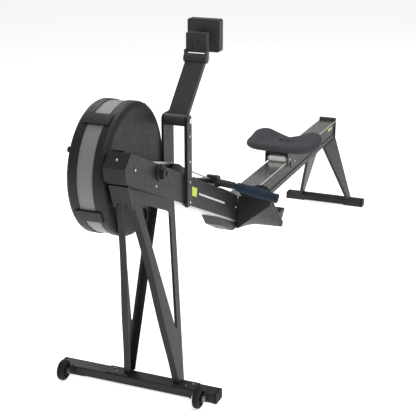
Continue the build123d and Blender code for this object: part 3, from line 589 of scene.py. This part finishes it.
def pan_head(point, outward, radius=4.5, height=3.0):
    outward = Vector(outward).normalized()
    side = outward.orthogonal().normalized()
    other = outward.cross(side)
    rings = []
    profile = ((0, 1.0, 0), (0.45, 1.0, 0), (0.8, 0.86, 0), (1.0, 0.6, 0), (1.0, 0.47, 6), (0.25, 0.45, 6))
    for lift, r, sides in profile:
        ring = []
        for n in range(24):
            a = 2 * math.pi * n / 24
            scale = r
            if sides:
                part = math.pi / sides
                scale = r * math.cos(part) / math.cos((a % (2 * part)) - part)
            centre = point + outward * (lift * height / 1000)
            ring.append(centre + (side * math.cos(a) + other * math.sin(a)) * (radius * scale / 1000))
        rings.append(ring)
    return loft(rings)


near = (0, -1, 0)
heads = [pan_head(at(-245, 0, 887.6), (-1, 0, 0.9))]
heads += [pan_head(at(x, -38, z), near) for x, z in ((-198, 847), (-51, 752), (683, 445))]
heads += [pan_head(at(198, -50, z), near) for z in (857, 766, 693, 620)]
for hand in (-1, 1):
    heads += [pan_head(at(x, hand * y, 40), (0, 0, 1), 4) for x, y in ((-20, 152), (-38, 132))]
piece("screw_heads", *join(heads), "steel", "frame", ["screws"], "bright_steel", smooth=False)

# Plain marks: a lime bar with a pale line on the side panel, and a lime tab on the rail


def slanted_bar(name, finish, x0, x1, low, high, y, slant=10):
    def point(x, share):
        lean = slant * (share - 0.5)
        return at(x + lean, y, box_top(x + lean) - 106 * (1 - share))
    outline = [point(x0, low), point(x1, low), point(x1, high), point(x0, high)]
    back = [v + Vector((0, 0.0008, 0)) for v in outline]
    piece(name, *loft([outline, back]), finish, "frame", (), None, smooth=False)


slanted_bar("panel_mark_bar", "accent", 236, 286, 0.36, 0.68, -38.5, 26)
slanted_bar("panel_mark_line", "pale", 306, 560, 0.47, 0.54, -38.5)
outline = [at(2020, -39.4, 424), at(2092, -39.4, 424), at(2092, -39.4, 436), at(2020, -39.4, 436)]
inner = [v + Vector((0, 0.0034, 0)) for v in outline]
piece("rail_mark", *loft([outline, inner]), "accent", "frame", smooth=False)

# Studio: pale floor, white surroundings and soft lights

bpy.ops.mesh.primitive_plane_add(size=60, location=(0, 0, 0))
floor = bpy.context.object
floor.name = "studio_floor"
floor_paint = Paint("studio_paper", (0.93, 0.93, 0.93), 0.9)
floor_paint.shade(floor_paint.noise(2, 2), 0.004)
floor_paint.shader.inputs["Emission Color"].default_value = (1, 1, 1, 1)
floor_paint.shader.inputs["Emission Strength"].default_value = 0.66
floor.data.materials.append(floor_paint.material)

world = bpy.data.worlds.new("studio")
bpy.context.scene.world = world
world.use_nodes = True
backdrop = world.node_tree.nodes["Background"]
backdrop.inputs["Color"].default_value = (1, 1, 1, 1)
seen = world.node_tree.nodes.new("ShaderNodeLightPath")
level = world.node_tree.nodes.new("ShaderNodeMapRange")
level.inputs["To Min"].default_value = 0.26
level.inputs["To Max"].default_value = 1.0
world.node_tree.links.new(seen.outputs["Is Camera Ray"], level.inputs["Value"])
world.node_tree.links.new(level.outputs["Result"], backdrop.inputs["Strength"])
bpy.context.scene.view_settings.view_transform = "Standard"


def soft_light(name, place, aim, size, power):
    data = bpy.data.lights.new(name, "AREA")
    data.shape = "DISK"
    data.size = size
    data.energy = power
    lamp = bpy.data.objects.new(name, data)
    bpy.context.scene.collection.objects.link(lamp)
    lamp.location = place
    lamp.rotation_mode = "QUATERNION"
    lamp.rotation_quaternion = (Vector(aim) - Vector(place)).to_track_quat("-Z", "Y")


soft_light("key", (-2.2, -2.6, 3.6), (0, 0, 0.5), 2.4, 90)
soft_light("top", (0.6, 0.3, 4.0), (0.2, 0, 0.4), 3.0, 80)
soft_light("rim", (2.0, 3.0, 2.6), (0, 0, 0.6), 2.0, 45)

# Camera, aimed by its heading from +X towards +Y and its downward pitch

YAW, PITCH_DOWN = math.radians(22.227), math.radians(19.179)
camera = bpy.data.objects.new("camera", bpy.data.cameras.new("camera"))
bpy.context.scene.collection.objects.link(camera)
bpy.context.scene.camera = camera
camera.location = (-3.788, -1.4088, 1.7453)
level_share = math.cos(PITCH_DOWN)
forward = Vector((level_share * math.cos(YAW), level_share * math.sin(YAW), -math.sin(PITCH_DOWN)))
camera.rotation_mode = "QUATERNION"
camera.rotation_quaternion = forward.to_track_quat("-Z", "Y")
camera.data.sensor_width = 36
camera.data.lens = 86.6
camera.data.clip_start = 0.1
camera.data.clip_end = 100
